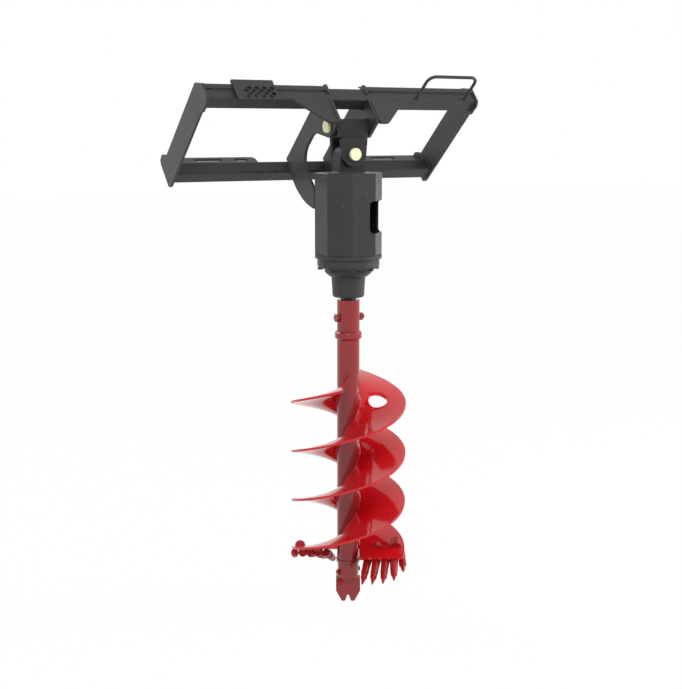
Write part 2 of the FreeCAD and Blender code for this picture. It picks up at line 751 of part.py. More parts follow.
def gearOutline(teeth, play, tipRadius, rootRadius, firstTooth):
    """Points of a toothed outline; play is taken off each tooth, firstTooth is a tooth's plan angle."""
    pitchRadius = gearModule * teeth / 2
    pressure = math.radians(20)
    baseRadius = pitchRadius * math.cos(pressure)
    halfAtPitch = math.pi / (2 * teeth) - play / (2 * pitchRadius)
    low = max(rootRadius, baseRadius + 0.05)
    flank = []
    for part in (0.0, 0.5, 1.0):
        radius = low + (tipRadius - low) * part
        local = math.acos(baseRadius / radius)
        flank.append((radius, halfAtPitch + involute(pressure) - involute(local)))
    points = []
    for i in range(teeth):
        middle = math.radians(firstTooth + 360 * i / teeth)
        if low > rootRadius + 0.01:
            points.append((rootRadius, middle - flank[0][1]))
        points += [(radius, middle - half) for radius, half in flank]
        points += [(radius, middle + half) for radius, half in reversed(flank)]
        if low > rootRadius + 0.01:
            points.append((rootRadius, middle + flank[0][1]))
    return points


def toothedPrism(points, z0, height):
    corners = [V(r * math.cos(a), r * math.sin(a), z0) for r, a in points]
    return Part.Face(Part.makePolygon(corners + corners[:1])).extrude(V(0, 0, height))


def gearSolid(teeth, height, z0, firstTooth):
    """External spur gear about Z."""
    pitchRadius = gearModule * teeth / 2
    points = gearOutline(teeth, backlash, pitchRadius + 0.95 * gearModule,
                         pitchRadius - 1.25 * gearModule, firstTooth)
    return toothedPrism(points, z0, height)


def planetGear(index):
    """One planet: a tooth points straight out to the ring gear, so that all gears mesh at rest."""
    turn = 90 + 360 * index / planetCount
    gear = gearSolid(planetTeeth, gearWidth, gearBottomZ, turn)
    gear = gear.cut(rod(planetPin / 2 + 0.05, V(0, 0, gearBottomZ - 1), V(0, 0, gearTopZ + 1)))
    gear.translate(planetAt(index))
    return gear


def planetAt(index):
    turn = math.radians(90 + 360 * index / planetCount)
    return V(planetOrbit * math.cos(turn), planetOrbit * math.sin(turn), 0)


def planetPins():
    pins = []
    for i in range(planetCount):
        at = planetAt(i)
        pins.append(rod(planetPin / 2, at + axisZ * (carrierTopZ - carrierThick), at + axisZ * (gearTopZ + 1)))
    return pins


def ringGear():
    """Outer section of the gearbox with the internal teeth."""
    pitchRadius = gearModule * ringTeeth / 2
    body = rod(ringRadius, V(0, 0, ringBottomZ), V(0, 0, coverBottomZ))
    spaces = gearOutline(ringTeeth, -backlash, pitchRadius + 1.25 * gearModule,
                         pitchRadius - 0.8 * gearModule, 90.0)
    body = body.cut(toothedPrism(spaces, ringBottomZ - 1, ringHeight + 2))
    for place in coverBoltPlaces():
        body = body.cut(rod(coverBolt / 2 + 0.5, place + axisZ * (ringBottomZ - 1), place + axisZ * (coverBottomZ + 1)))
    return body


def gearboxCover():
    """Round input cover between the hood and the ring gear."""
    body = turned([(inputShaftRadius + 2, coverBottomZ), (coverRadius - 2, coverBottomZ),
                   (coverRadius, coverBottomZ + 2), (coverRadius, hoodBottomZ),
                   (inputShaftRadius + 2, hoodBottomZ)])
    for place in coverBoltPlaces():
        body = body.cut(rod(coverBolt / 2 + 0.5, place + axisZ * (coverBottomZ - 1), place + axisZ * (hoodBottomZ + 1)))
    for x in (-1, 1):
        for y in (-1, 1):
            at = V(x * motorMountSpread / 2, y * motorMountSpread / 2, coverBottomZ + 4)
            body = body.cut(rod(motorMountBolt / 2, at, at + axisZ * coverThick))
    return body


def gearboxBolts():
    """Bolts from below through the ring gear and cover into the hood's foot."""
    bolts = []
    for place in coverBoltPlaces():
        start = place + axisZ * flangeBottomZ
        grip = hoodBottomZ - flangeBottomZ
        bolts.append(hexBolt(coverBolt, start, axisZ, grip + hoodFootThick - 1, 18, 8))
    return bolts


def outputHousing():
    """Bell and snout that carry the output shaft's bearings."""
    outerProfile = [(ringRadius, ringBottomZ), (ringRadius, ringBottomZ - 2), (ringRadius - 5, flangeBottomZ),
                    (bellRadius, flangeBottomZ), (bellRadius - 2, bellBottomZ + 4), (bellRadius - 8, bellBottomZ - 3),
                    (snoutRadius + 10, bellBottomZ - 11), (snoutRadius + 2, bellBottomZ - 15),
                    (snoutRadius, bellBottomZ - 20), (snoutRadius - snoutTaper, snoutBottomZ + 6),
                    (snoutRadius - snoutTaper - 5, snoutBottomZ)]
    seat = bearingOuterRadius
    innerProfile = [(sealOuterRadius, snoutBottomZ), (sealOuterRadius, snoutBottomZ + sealHeight),
                    (seat, snoutBottomZ + sealHeight), (seat, lowerBearingZ + bearingWidth),
                    (seat - 6, lowerBearingZ + bearingWidth), (seat - 6, upperBearingZ), (seat, upperBearingZ),
                    (seat, upperBearingZ + bearingWidth), (carrierRadius + 5, upperBearingZ + bearingWidth),
                    (carrierRadius + 5, ringBottomZ)]
    body = turned(outerProfile + innerProfile)
    for place in coverBoltPlaces():
        body = body.cut(rod(coverBolt / 2 + 0.5, place + axisZ * (flangeBottomZ - 1), place + axisZ * (ringBottomZ + 1)))
    return body


def outputShaft():
    """One-piece output shaft: bearing journals and a hexagonal end."""
    journal = rod(shaftRadius, V(0, 0, snoutBottomZ), V(0, 0, carrierTopZ - carrierThick))
    end = hexBar(shaftHex, collarTopZ - shaftSocket, snoutBottomZ)
    shaft = journal.fuse(end)
    return shaft.cut(collarBoltHole())


def carrier():
    plate = rod(carrierRadius, V(0, 0, carrierTopZ - carrierThick), V(0, 0, carrierTopZ))
    for i in range(planetCount):
        at = planetAt(i)
        plate = plate.cut(rod(planetPin / 2, at + axisZ * (carrierTopZ - carrierThick - 1), at + axisZ * (carrierTopZ + 1)))
    return plate


def bearingCups():
    """Outer rings of the two tapered roller bearings, pressed into the snout."""
    cups = []
    for low, flip in ((lowerBearingZ, 1), (upperBearingZ, -1)):
        middle = low + bearingWidth / 2
        top = bearingTrack + flip * bearingTaper
        bottom = bearingTrack - flip * bearingTaper
        cups.append(turned([(bottom, middle - bearingWidth / 2), (bearingOuterRadius, middle - bearingWidth / 2),
                            (bearingOuterRadius, middle + bearingWidth / 2), (top, middle + bearingWidth / 2)]))
    return cups


def bearingCones():
    """Inner rings with their rollers, on the shaft's journals."""
    cones = []
    for low, flip in ((lowerBearingZ, 1), (upperBearingZ, -1)):
        middle = low + bearingWidth / 2
        top = bearingTrack + flip * bearingTaper - bearingFit
        bottom = bearingTrack - flip * bearingTaper - bearingFit
        cones.append(turned([(shaftRadius, middle - bearingWidth / 2), (bottom, middle - bearingWidth / 2),
                             (top, middle + bearingWidth / 2), (shaftRadius, middle + bearingWidth / 2)]))
    return cones


def shaftSeal():
    return sleeve(shaftRadius + 0.05, sealOuterRadius, snoutBottomZ, snoutBottomZ + sealHeight - 0.5)


# ---- auger ------------------------------------------------------------------------------------------
def collarBoltHole():
    middle = collarTopZ - collarBoltDrop
    way = V(math.cos(math.radians(collarBoltTurn)), math.sin(math.radians(collarBoltTurn)), 0)
    at = V(0, 0, middle)
    return rod(collarBolt / 2 + 0.3, at - way * 80, at + way * 80)


def augerCollar():
    """Socket for the hexagonal shaft, with a long groove outside and the cross bolt's hole."""
    body = rod(stemRadius, V(0, 0, collarBottomZ), V(0, 0, collarTopZ))
    body = body.cut(hexBar(shaftHex + 2 * socketClearance, collarBottomZ - 1, collarTopZ + 1))
    half = collarSlotWidth / 2
    high = collarTopZ - 10
    low = high - collarSlotLength
    slot = plateY([(-half, low, half - 0.01), (half, low, half - 0.01), (half, high, half - 0.01),
                   (-half, high, half - 0.01)], -stemRadius - 1, -stemRadius + collarSlotDeep)
    slot.rotate(V(0, 0, 0), axisZ, collarSlotTurn)
    return body.cut(slot).cut(collarBoltHole())


def augerBolt():
    """Cross bolt through collar and shaft: one solid, head nearer the front."""
    middle = V(0, 0, collarTopZ - collarBoltDrop)
    way = V(math.cos(math.radians(collarBoltTurn)), math.sin(math.radians(collarBoltTurn)), 0)
    start = middle - way * (stemRadius + 1)
    return hexBolt(collarBolt, start, way, 2 * stemRadius + 24, 29, 12)


def augerNut():
    middle = V(0, 0, collarTopZ - collarBoltDrop)
    way = V(math.cos(math.radians(collarBoltTurn)), math.sin(math.radians(collarBoltTurn)), 0)
    nut = hexBar(29, 0, 15).cut(rod(collarBolt / 2, V(0, 0, -1), V(0, 0, 16)))
    nut.Placement = FreeCAD.Placement(middle + way * (stemRadius + 1), FreeCAD.Rotation(axisZ, way))
    return nut


def ringFlange():
    """Joint ring between the collar and the stem."""
    low = ringFlangeBottomZ
    high = collarBottomZ
    return turned([(0, low), (ringFlangeRadius - 6, low), (ringFlangeRadius, low + 6), (ringFlangeRadius, high - 5),
                   (ringFlangeRadius - 4, high), (0, high)])


def augerStem():
    return sleeve(stemRadius - stemWall, stemRadius, stemBottomZ, ringFlangeBottomZ)


def helix(radius, z):
    """One helical curve that starts at plan angle zero."""
    steps = round(flightSweep / 15)
    points = []
    for i in range(steps + 1):
        turn = flightSweep * i / steps
        angle = math.radians(turn)
        points.append(V(radius * math.cos(angle), radius * math.sin(angle), z + flightLead * turn / 360))
    curve = Part.BSplineCurve()
    curve.interpolate(points)
    return curve


def sewn(faces):
    """One closed shell from faces that share their edges."""
    joined = Part.makeCompound(faces)
    joined.sewShape(1e-4)
    return joined.Shells[0]


def flight(index):
    """One of the two helicoid flights, as wide as the auger, with the lifting hole in the second."""
    half = flightThick / 2
    inner = stemRadius + 0.02
    lowInner = helix(inner, -half)
    lowOuter = helix(augerRadius, -half)
    highInner = helix(inner, half)
    highOuter = helix(augerRadius, half)
    faces = []
    for a, b in ((lowInner, lowOuter), (highInner, highOuter), (lowInner, highInner), (lowOuter, highOuter)):
        faces.append(a.makeRuledSurface(b).toShape())
    rise = flightLead * flightSweep / 360
    for angle, z in ((0.0, 0.0), (math.radians(flightSweep), rise)):
        way = V(math.cos(angle), math.sin(angle), 0)
        corners = [way * inner + axisZ * (z - half), way * augerRadius + axisZ * (z - half),
                   way * augerRadius + axisZ * (z + half), way * inner + axisZ * (z + half)]
        faces.append(Part.Face(Part.makePolygon(corners + corners[:1])))
    body = Part.makeSolid(sewn(faces))
    if body.Volume < 0:
        body.reverse()
    if index == 1:
        turn = math.radians(flightSweep - liftHoleTurn)
        middle = V(liftHoleRadius * math.cos(turn), liftHoleRadius * math.sin(turn),
                   rise - flightLead * liftHoleTurn / 360)
        body = body.cut(rod(liftHole / 2, middle - axisZ * 60, middle + axisZ * 60))
    for number in range(len(toothTips)):
        body = body.cut(holderBar(number))
    return onEdge(body, index)


# ---- cutting head ---------------------------------------------------------------------------------------
def onEdge(shape, index):
    """From edge coordinates (x out along the edge, -y the way it cuts) to the auger."""
    moved = shape.copy()
    moved.rotate(V(0, 0, 0), axisZ, flightStart + 180 * index)
    moved.translate(V(0, 0, flightBottomZ))
    return moved


def cuttingEdge(index):
    """Straight edge plate that carries each flight on ahead, troughed over the holders."""
    bar = block(stemRadius, augerRadius, -edgeWidth, 0, -edgeThick, 0)
    bar.rotate(V(0, 0, 0), axisX, edgePitch)
    bar.translate(V(0, 0, flightThick / 2))
    bar = bar.common(rod(augerRadius, V(0, 0, -200), V(0, 0, 200))).cut(headCore())
    bar = bar.cut(block(0, augerRadius, 0, edgeThick, -edgeThick * 2, edgeThick))
    for number in range(len(toothTips)):
        bar = bar.cut(holderBar(number)).cut(toothBar(number))
    return onEdge(bar, index)


def toothLine(number):
    """Back end of one holder and the tip of its tooth, in edge coordinates."""
    radius, ahead, drop = toothTips[number]
    return V(holderRadii[number], holderBack, -holderDrop), V(radius, -ahead, -drop)


def holderBar(number):
    """One holder before it is bored, with its round back where it has one."""
    base, tip = toothLine(number)
    bar = rod(holderRadius, base, base + (tip - base) * holderShare)
    for holder, radius, size, rise in holderBacks:
        if holder == number:
            low = V(radius, -8, size - holderRadius)
            back = rod(size, low, V(radius, holderBackReach, rise))
            bar = bar.fuse(back.cut(rod(holderRadius, *toothLine(number + 1))))
    return max(bar.Solids, key=lambda solid: solid.Volume)


def toothBar(number):
    """One chisel-pointed tooth with the round shank that sits in its holder."""
    base, tip = toothLine(number)
    way = (tip - base).normalize()
    seat = base + (tip - base) * holderShare
    length = (tip - seat).Length
    shank = rod(toothShank, base + way * holderRadius, seat)
    body = Part.makeCone(toothRadius, toothRadius * 0.75, length * 0.6, seat, way)
    nose = Part.makeCone(toothRadius * 0.75, 2.5, length * 0.4, seat + way * (length * 0.6), way)
    return shank.fuse([body, nose])


def headCore():
    """Stem and pilot hub as one plain round, to fit the cutting edges against."""
    return rod(stemRadius + 3, V(0, 0, -stemTail - pilotHubHeight), V(0, 0, stemTail))


def toothHolders(index):
    """Round-backed sockets welded under the cutting edge."""
    holders = []
    for number in range(len(toothTips)):
        holders.append(onEdge(holderBar(number).cut(toothBar(number)), index))
    return holders


def teeth(index):
    return [onEdge(toothBar(number), index) for number in range(len(toothTips))]


def pilotHub():
    """Collar under the stem that carries the pilot."""
    high = stemBottomZ
    low = high - pilotHubHeight
    body = turned([(0, low), (pilotHubRadius - 3, low), (pilotHubRadius, low + 3), (pilotHubRadius, high - pilotRing),
                   (stemRadius + 3, high - pilotRing), (stemRadius + 3, high), (0, high)])
    return body


def pilotBit():
    """Two-pronged pilot blade."""
    high = stemBottomZ - pilotHubHeight
    half = pilotBladeWidth / 2
    low = high - pilotBladeHeight
    corners = [(-half, high, 0), (half, high, 0), (half, high - 56, 8), (half * 0.52, low, 6), (half * 0.24, low, 6),
               (0, high - 62, 5), (-half * 0.24, low, 6), (-half * 0.52, low, 6), (-half, high - 56, 8)]
    blade = plateY(corners, -pilotBladeThick / 2, pilotBladeThick / 2)
    blade.rotate(V(0, 0, 0), axisZ, flightStart)
    return blade


# ---- export -----------------------------------------------------------------------------------------------
def save(name, shape):
    shape = Part.makeCompound(shape) if isinstance(shape, list) else shape
    shape.exportStep("parts/" + name + ".step")
    bad = "" if shape.isValid() else "  NOT VALID"
    print(f"{name:24s} solids {len(shape.Solids):2d}  volume {shape.Volume / 1000:10.1f} cm3{bad}")


def main():
    os.makedirs("parts", exist_ok=True)
    save("top_tube", leanFrame(topTubePiece()))
    save("bottom_tube", leanFrame(bottomTubePiece()))
    for side, name in ((-1, "left"), (1, "right")):
        save(name + "_end_plate", leanFrame(endPlate(side)))
        save(name + "_hook_lip", leanFrame(hookLip(side)))
        save(name + "_latch_plate", leanFrame(latchPlate(side)))
        save(name + "_side_plate", leanFrame(sidePlate(side)))
        save(name + "_gusset", leanFrame(gusset(side)))
    save("step_tread", leanFrame(stepPlate()))
    save("grab_handle", leanFrame(grabHandle()))
    save("upper_pin", hang(upperPin()))
    save("lower_pin", hang(lowerPin()))
    save("upper_flag_bolt", hang(onUpperPinEnd(keeperBolt())))
    save("lower_flag_bolt", hang(onLowerPinEnd(keeperBolt())))
    save("hanger_block", hang(hangerBlock()))
    save("hanger_cheeks", [hang(hangerCheek(side)) for side in (-1, 1)])
    save("upper_pin_bush", hang(upperBush()))
    save("upper_pin_spacers", [hang(piece) for piece in upperSpacers()])
    save("drive_tongue", hang(tongue()))
    save("lower_pin_bush", hang(lowerBush()))
    save("hood_shell", hang(hoodShell()))
    save("hood_roof", hang(hoodRoofPlate()))
    save("hood_foot", hang(hoodFoot()))
    save("motor_front_housing", hang(motorFront()))
    save("motor_gerotor", hang(motorStack()))
    save("motor_port_housing", hang(motorCap()))
    save("motor_mount_bolts", [hang(piece) for piece in motorMountBolts()])
    save("motor_cap_bolts", [hang(piece) for piece in motorBolts()])
    save("motor_shaft_sun_gear", hang(motorShaft()))
    save("gearbox_cover", hang(gearboxCover()))
    save("ring_gear", hang(ringGear()))
    save("gearbox_bolts", [hang(piece) for piece in gearboxBolts()])
    for i in range(planetCount):
        save(f"planet_gear_{i + 1}", hang(planetGear(i)))
    save("planet_pins", [hang(piece) for piece in planetPins()])
    save("planet_carrier", hang(carrier()))
    save("output_housing", hang(outputHousing()))
    save("bearing_cups", [hang(piece) for piece in bearingCups()])
    save("bearing_cones", [hang(piece) for piece in bearingCones()])
    save("shaft_seal", hang(shaftSeal()))
    save("output_shaft", hang(outputShaft()))
    save("auger_collar", hang(augerCollar()))
    save("auger_bolt_and_nut", [hang(augerBolt()), hang(augerNut())])
    save("auger_ring", hang(ringFlange()))
    save("auger_stem", hang(augerStem()))
    for i in range(2):
        save(f"flight_{i + 1}", hang(flight(i)))
        save(f"cutting_edge_{i + 1}", hang(cuttingEdge(i)))
        save(f"tooth_holders_{i + 1}", [hang(piece) for piece in toothHolders(i)])
        save(f"teeth_{i + 1}", [hang(piece) for piece in teeth(i)])
    save("pilot_hub", hang(pilotHub()))
    save("pilot_bit", hang(pilotBit()))


main()
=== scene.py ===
import json
import math
import bpy
from mathutils import Matrix, Vector


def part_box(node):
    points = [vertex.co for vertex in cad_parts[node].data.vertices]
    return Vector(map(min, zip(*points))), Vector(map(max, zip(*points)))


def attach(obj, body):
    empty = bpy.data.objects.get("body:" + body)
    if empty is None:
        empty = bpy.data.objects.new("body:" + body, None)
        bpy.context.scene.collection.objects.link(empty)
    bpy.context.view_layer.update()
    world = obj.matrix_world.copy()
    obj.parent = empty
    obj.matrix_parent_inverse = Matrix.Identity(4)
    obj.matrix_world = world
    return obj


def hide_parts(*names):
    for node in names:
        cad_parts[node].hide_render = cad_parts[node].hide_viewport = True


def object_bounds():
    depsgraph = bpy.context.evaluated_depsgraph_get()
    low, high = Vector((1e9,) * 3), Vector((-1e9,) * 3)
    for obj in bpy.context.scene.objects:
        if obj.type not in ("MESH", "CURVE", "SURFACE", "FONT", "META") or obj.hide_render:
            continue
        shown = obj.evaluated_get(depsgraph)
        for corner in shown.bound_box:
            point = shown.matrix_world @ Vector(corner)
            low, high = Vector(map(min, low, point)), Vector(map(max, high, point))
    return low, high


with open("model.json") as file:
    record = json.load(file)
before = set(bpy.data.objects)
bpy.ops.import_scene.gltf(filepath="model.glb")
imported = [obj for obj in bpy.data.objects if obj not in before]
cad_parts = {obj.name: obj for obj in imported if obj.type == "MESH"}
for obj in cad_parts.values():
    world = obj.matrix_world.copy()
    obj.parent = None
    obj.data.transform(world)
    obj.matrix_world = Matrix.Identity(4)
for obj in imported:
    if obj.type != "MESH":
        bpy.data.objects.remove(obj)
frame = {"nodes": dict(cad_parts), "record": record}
nodes = frame["nodes"]
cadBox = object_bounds()

# the upper pin, taken from its bush: both hinges and the auger's axis hang from it
bushLow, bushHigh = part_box("upper_pin_bush")
pinY = (bushLow[1] + bushHigh[1]) / 2
pinZ = (bushLow[2] + bushHigh[2]) / 2


# camera
cameraLook = {"fromAxis": (-2.3337, -4.0714, -0.0192), "pitch": 9.99, "turn": 29.47, "lens": 63.84}


def setCamera(look):
    bpy.ops.object.camera_add()
    camera = bpy.context.object
    camera.name = "camera"
    x, y, z = look["fromAxis"]
    camera.location = (x, pinY + y, pinZ + z)
    camera.rotation_euler = (math.radians(90 - look["pitch"]), 0, -math.radians(look["turn"]))
    camera.data.sensor_fit = "HORIZONTAL"
    camera.data.sensor_width = 36
    camera.data.lens = look["lens"]
    bpy.context.scene.camera = camera


setCamera(cameraLook)
bpy.context.scene.view_settings.view_transform = "Standard"
print("camera set")


# studio
studio = {"floorDrop": 0.012, "floorSize": 60.0, "worldLight": 0.4, "floorGlow": 0.98,
          "lamps": [("keyLamp", (-3.2, -4.6, 3.6), 3.0, 250, (1.0, 0.99, 0.97)),
                    ("rightLamp", (4.6, -1.6, 0.9), 2.4, 190, (1.0, 1.0, 1.0)),
                    ("backLamp", (-2.0, 3.8, 2.4), 2.4, 90, (0.97, 0.985, 1.0))]}


# camera, glossy and transmission rays see a glowing white, other rays see the plain shader
def whiteForCamera(tree, shader, glow):
    nodesIn = tree.nodes
    path = nodesIn.new("ShaderNodeLightPath")
    seen = nodesIn.new("ShaderNodeMath")
    seen.operation = "ADD"
    seen.use_clamp = True
    both = nodesIn.new("ShaderNodeMath")
    both.operation = "ADD"
    both.use_clamp = True
    tree.links.new(path.outputs["Is Camera Ray"], seen.inputs[0])
    tree.links.new(path.outputs["Is Glossy Ray"], seen.inputs[1])
    tree.links.new(seen.outputs[0], both.inputs[0])
    tree.links.new(path.outputs["Is Transmission Ray"], both.inputs[1])
    share = nodesIn.new("ShaderNodeMath")
    share.operation = "MULTIPLY"
    share.inputs[1].default_value = glow
    tree.links.new(both.outputs[0], share.inputs[0])
    mix = nodesIn.new("ShaderNodeMixShader")
    tree.links.new(share.outputs[0], mix.inputs[0])
    tree.links.new(shader.outputs[0], mix.inputs[1])
    return mix


def buildStudio(look):
    world = bpy.data.worlds.new("studioWorld")
    bpy.context.scene.world = world
    world.use_nodes = True
    tree = world.node_tree
    plain = tree.nodes["Background"]
    plain.inputs["Color"].default_value = (1, 1, 1, 1)
    plain.inputs["Strength"].default_value = look["worldLight"]
    white = tree.nodes.new("ShaderNodeBackground")
    white.inputs["Color"].default_value = (1, 1, 1, 1)
    mix = whiteForCamera(tree, plain, 1.0)
    tree.links.new(white.outputs[0], mix.inputs[2])
    tree.links.new(mix.outputs[0], tree.nodes["World Output"].inputs["Surface"])

    bpy.ops.mesh.primitive_plane_add(size=look["floorSize"], location=(0, pinY, cadBox[0][2] - look["floorDrop"]))
    floor = bpy.context.object
    floor.name = "floor"
    paint = bpy.data.materials.new("floorWhite")
    paint.use_nodes = True
    tree = paint.node_tree
    plain = tree.nodes["Principled BSDF"]
    plain.inputs["Base Color"].default_value = (0.92, 0.92, 0.92, 1)
    plain.inputs["Roughness"].default_value = 0.9
    glow = tree.nodes.new("ShaderNodeEmission")
    glow.inputs["Color"].default_value = (1, 1, 1, 1)
    mix = whiteForCamera(tree, plain, look["floorGlow"])
    tree.links.new(glow.outputs[0], mix.inputs[2])
    tree.links.new(mix.outputs[0], tree.nodes["Material Output"].inputs["Surface"])
    floor.data.materials.append(paint)

    aim = Vector((0, pinY, -0.6))
    for name, place, size, power, tint in look["lamps"]:
        bpy.ops.object.light_add(type="AREA", location=(place[0], place[1] + pinY, place[2]))
        lamp = bpy.context.object
        lamp.name = name
        lamp.data.size = size
        lamp.data.energy = power
        lamp.data.color = tint
        lamp.rotation_euler = (aim - lamp.location).to_track_quat("-Z", "Y").to_euler()


buildStudio(studio)
print("studio built")


# finishes
def addSocket(group, name, kind, way="INPUT", value=None):
    socket = group.interface.new_socket(name=name, in_out=way, socket_type=kind)
    if value is not None:
        socket.default_value = value
    return socket


# sprayed paint: cloudy colour, orange peel and scuffs
def sprayCoatGroup():
    group = bpy.data.node_groups.new("sprayCoat", "ShaderNodeTree")
    addSocket(group, "Paint", "NodeSocketColor", value=(0.1, 0.1, 0.1, 1))
    addSocket(group, "Scuff", "NodeSocketColor", value=(0.3, 0.3, 0.3, 1))
    addSocket(group, "Scuff Amount", "NodeSocketFloat", value=0.3)
    addSocket(group, "Cloud", "NodeSocketFloat", value=0.1)
    addSocket(group, "Gloss Low", "NodeSocketFloat", value=0.3)
    addSocket(group, "Gloss High", "NodeSocketFloat", value=0.45)
    addSocket(group, "Colour", "NodeSocketColor", "OUTPUT")
    addSocket(group, "Roughness", "NodeSocketFloat", "OUTPUT")
    addSocket(group, "Height", "NodeSocketFloat", "OUTPUT")
    addSocket(group, "Rounded", "NodeSocketVector", "OUTPUT")
    make = group.nodes.new
    link = group.links.new
    inlet = make("NodeGroupInput")
    outlet = make("NodeGroupOutput")
    coords = make("ShaderNodeTexCoord")

    def noise(scale, detail, rough=0.5):
        node = make("ShaderNodeTexNoise")
        node.inputs["Scale"].default_value = scale
        node.inputs["Detail"].default_value = detail
        node.inputs["Roughness"].default_value = rough
        link(coords.outputs["Object"], node.inputs["Vector"])
        return node

    clouds = noise(7, 4)
    peel = noise(520, 2)
    scratch = noise(60, 8, 0.72)
    patches = noise(4.5, 3)

    cloudRange = make("ShaderNodeMapRange")
    link(clouds.outputs["Fac"], cloudRange.inputs["Value"])
    cloudRange.inputs["From Min"].default_value = 0.3
    cloudRange.inputs["From Max"].default_value = 0.7
    cloudRange.inputs["To Min"].default_value = -1
    cloudRange.inputs["To Max"].default_value = 1
    cloudPart = make("ShaderNodeMath")
    cloudPart.operation = "MULTIPLY_ADD"
    cloudPart.inputs[2].default_value = 1
    link(cloudRange.outputs[0], cloudPart.inputs[0])
    link(inlet.outputs["Cloud"], cloudPart.inputs[1])
    shaded = make("ShaderNodeVectorMath")
    shaded.operation = "SCALE"
    link(inlet.outputs["Paint"], shaded.inputs[0])
    link(cloudPart.outputs[0], shaded.inputs["Scale"])

    rounded = make("ShaderNodeBevel")                  # softens every sharp edge a little
    rounded.samples = 4
    rounded.inputs["Radius"].default_value = 0.0018
    surface = make("ShaderNodeNewGeometry")
    along = make("ShaderNodeVectorMath")
    along.operation = "DOT_PRODUCT"
    link(rounded.outputs["Normal"], along.inputs[0])
    link(surface.outputs["Normal"], along.inputs[1])
    edgeRange = make("ShaderNodeMapRange")
    link(along.outputs["Value"], edgeRange.inputs["Value"])
    edgeRange.inputs["From Min"].default_value = 0.985
    edgeRange.inputs["From Max"].default_value = 0.9
    edgeBroken = make("ShaderNodeMath")
    edgeBroken.operation = "MULTIPLY"
    link(edgeRange.outputs[0], edgeBroken.inputs[0])
    link(scratch.outputs["Fac"], edgeBroken.inputs[1])
    link(rounded.outputs["Normal"], outlet.inputs["Rounded"])

    worn = make("ShaderNodeMath")
    worn.operation = "MULTIPLY"
    link(scratch.outputs["Fac"], worn.inputs[0])
    link(patches.outputs["Fac"], worn.inputs[1])
    wornRange = make("ShaderNodeMapRange")
    link(worn.outputs[0], wornRange.inputs["Value"])
    wornRange.inputs["From Min"].default_value = 0.335
    wornRange.inputs["From Max"].default_value = 0.41
    wornAny = make("ShaderNodeMath")
    wornAny.operation = "MAXIMUM"
    link(wornRange.outputs[0], wornAny.inputs[0])
    link(edgeBroken.outputs[0], wornAny.inputs[1])
    wornShare = make("ShaderNodeMath")
    wornShare.operation = "MULTIPLY"
    link(wornAny.outputs[0], wornShare.inputs[0])
    link(inlet.outputs["Scuff Amount"], wornShare.inputs[1])
    colour = make("ShaderNodeMix")
    colour.data_type = "RGBA"
    link(wornShare.outputs[0], colour.inputs["Factor"])
    link(shaded.outputs[0], colour.inputs[6])
    link(inlet.outputs["Scuff"], colour.inputs[7])
    link(colour.outputs[2], outlet.inputs["Colour"])

    rough = make("ShaderNodeMapRange")
    link(clouds.outputs["Fac"], rough.inputs["Value"])
    rough.inputs["From Min"].default_value = 0.3
    rough.inputs["From Max"].default_value = 0.7
    link(inlet.outputs["Gloss Low"], rough.inputs["To Min"])
    link(inlet.outputs["Gloss High"], rough.inputs["To Max"])
    roughWorn = make("ShaderNodeMath")
    roughWorn.operation = "MULTIPLY_ADD"
    roughWorn.inputs[1].default_value = 0.3
    link(wornShare.outputs[0], roughWorn.inputs[0])
    link(rough.outputs[0], roughWorn.inputs[2])
    link(roughWorn.outputs[0], outlet.inputs["Roughness"])

    height = make("ShaderNodeMath")
    height.operation = "SUBTRACT"
    link(peel.outputs["Fac"], height.inputs[0])
    link(wornShare.outputs[0], height.inputs[1])
    link(height.outputs[0], outlet.inputs["Height"])
    return group


sprayCoat = sprayCoatGroup()


def sprayPaint(name, look):
    paint = bpy.data.materials.new(name)
    paint.use_nodes = True
    tree = paint.node_tree
    body = tree.nodes["Principled BSDF"]
    coat = tree.nodes.new("ShaderNodeGroup")
    coat.node_tree = sprayCoat
    coat.inputs["Paint"].default_value = (*look["colour"], 1)
    coat.inputs["Scuff"].default_value = (*look["scuff"], 1)
    coat.inputs["Scuff Amount"].default_value = look["scuffAmount"]
    coat.inputs["Cloud"].default_value = look["cloud"]
    coat.inputs["Gloss Low"].default_value = look["rough"][0]
    coat.inputs["Gloss High"].default_value = look["rough"][1]
    bump = tree.nodes.new("ShaderNodeBump")
    bump.inputs["Strength"].default_value = look["bump"]
    bump.inputs["Distance"].default_value = 0.0006
    tree.links.new(coat.outputs["Colour"], body.inputs["Base Color"])
    tree.links.new(coat.outputs["Roughness"], body.inputs["Roughness"])
    tree.links.new(coat.outputs["Height"], bump.inputs["Height"])
    tree.links.new(coat.outputs["Rounded"], bump.inputs["Normal"])
    tree.links.new(bump.outputs["Normal"], body.inputs["Normal"])
    body.inputs["Metallic"].default_value = look.get("metallic", 0.0)
    body.inputs["Specular IOR Level"].default_value = look.get("shine", 0.3)
    return paint


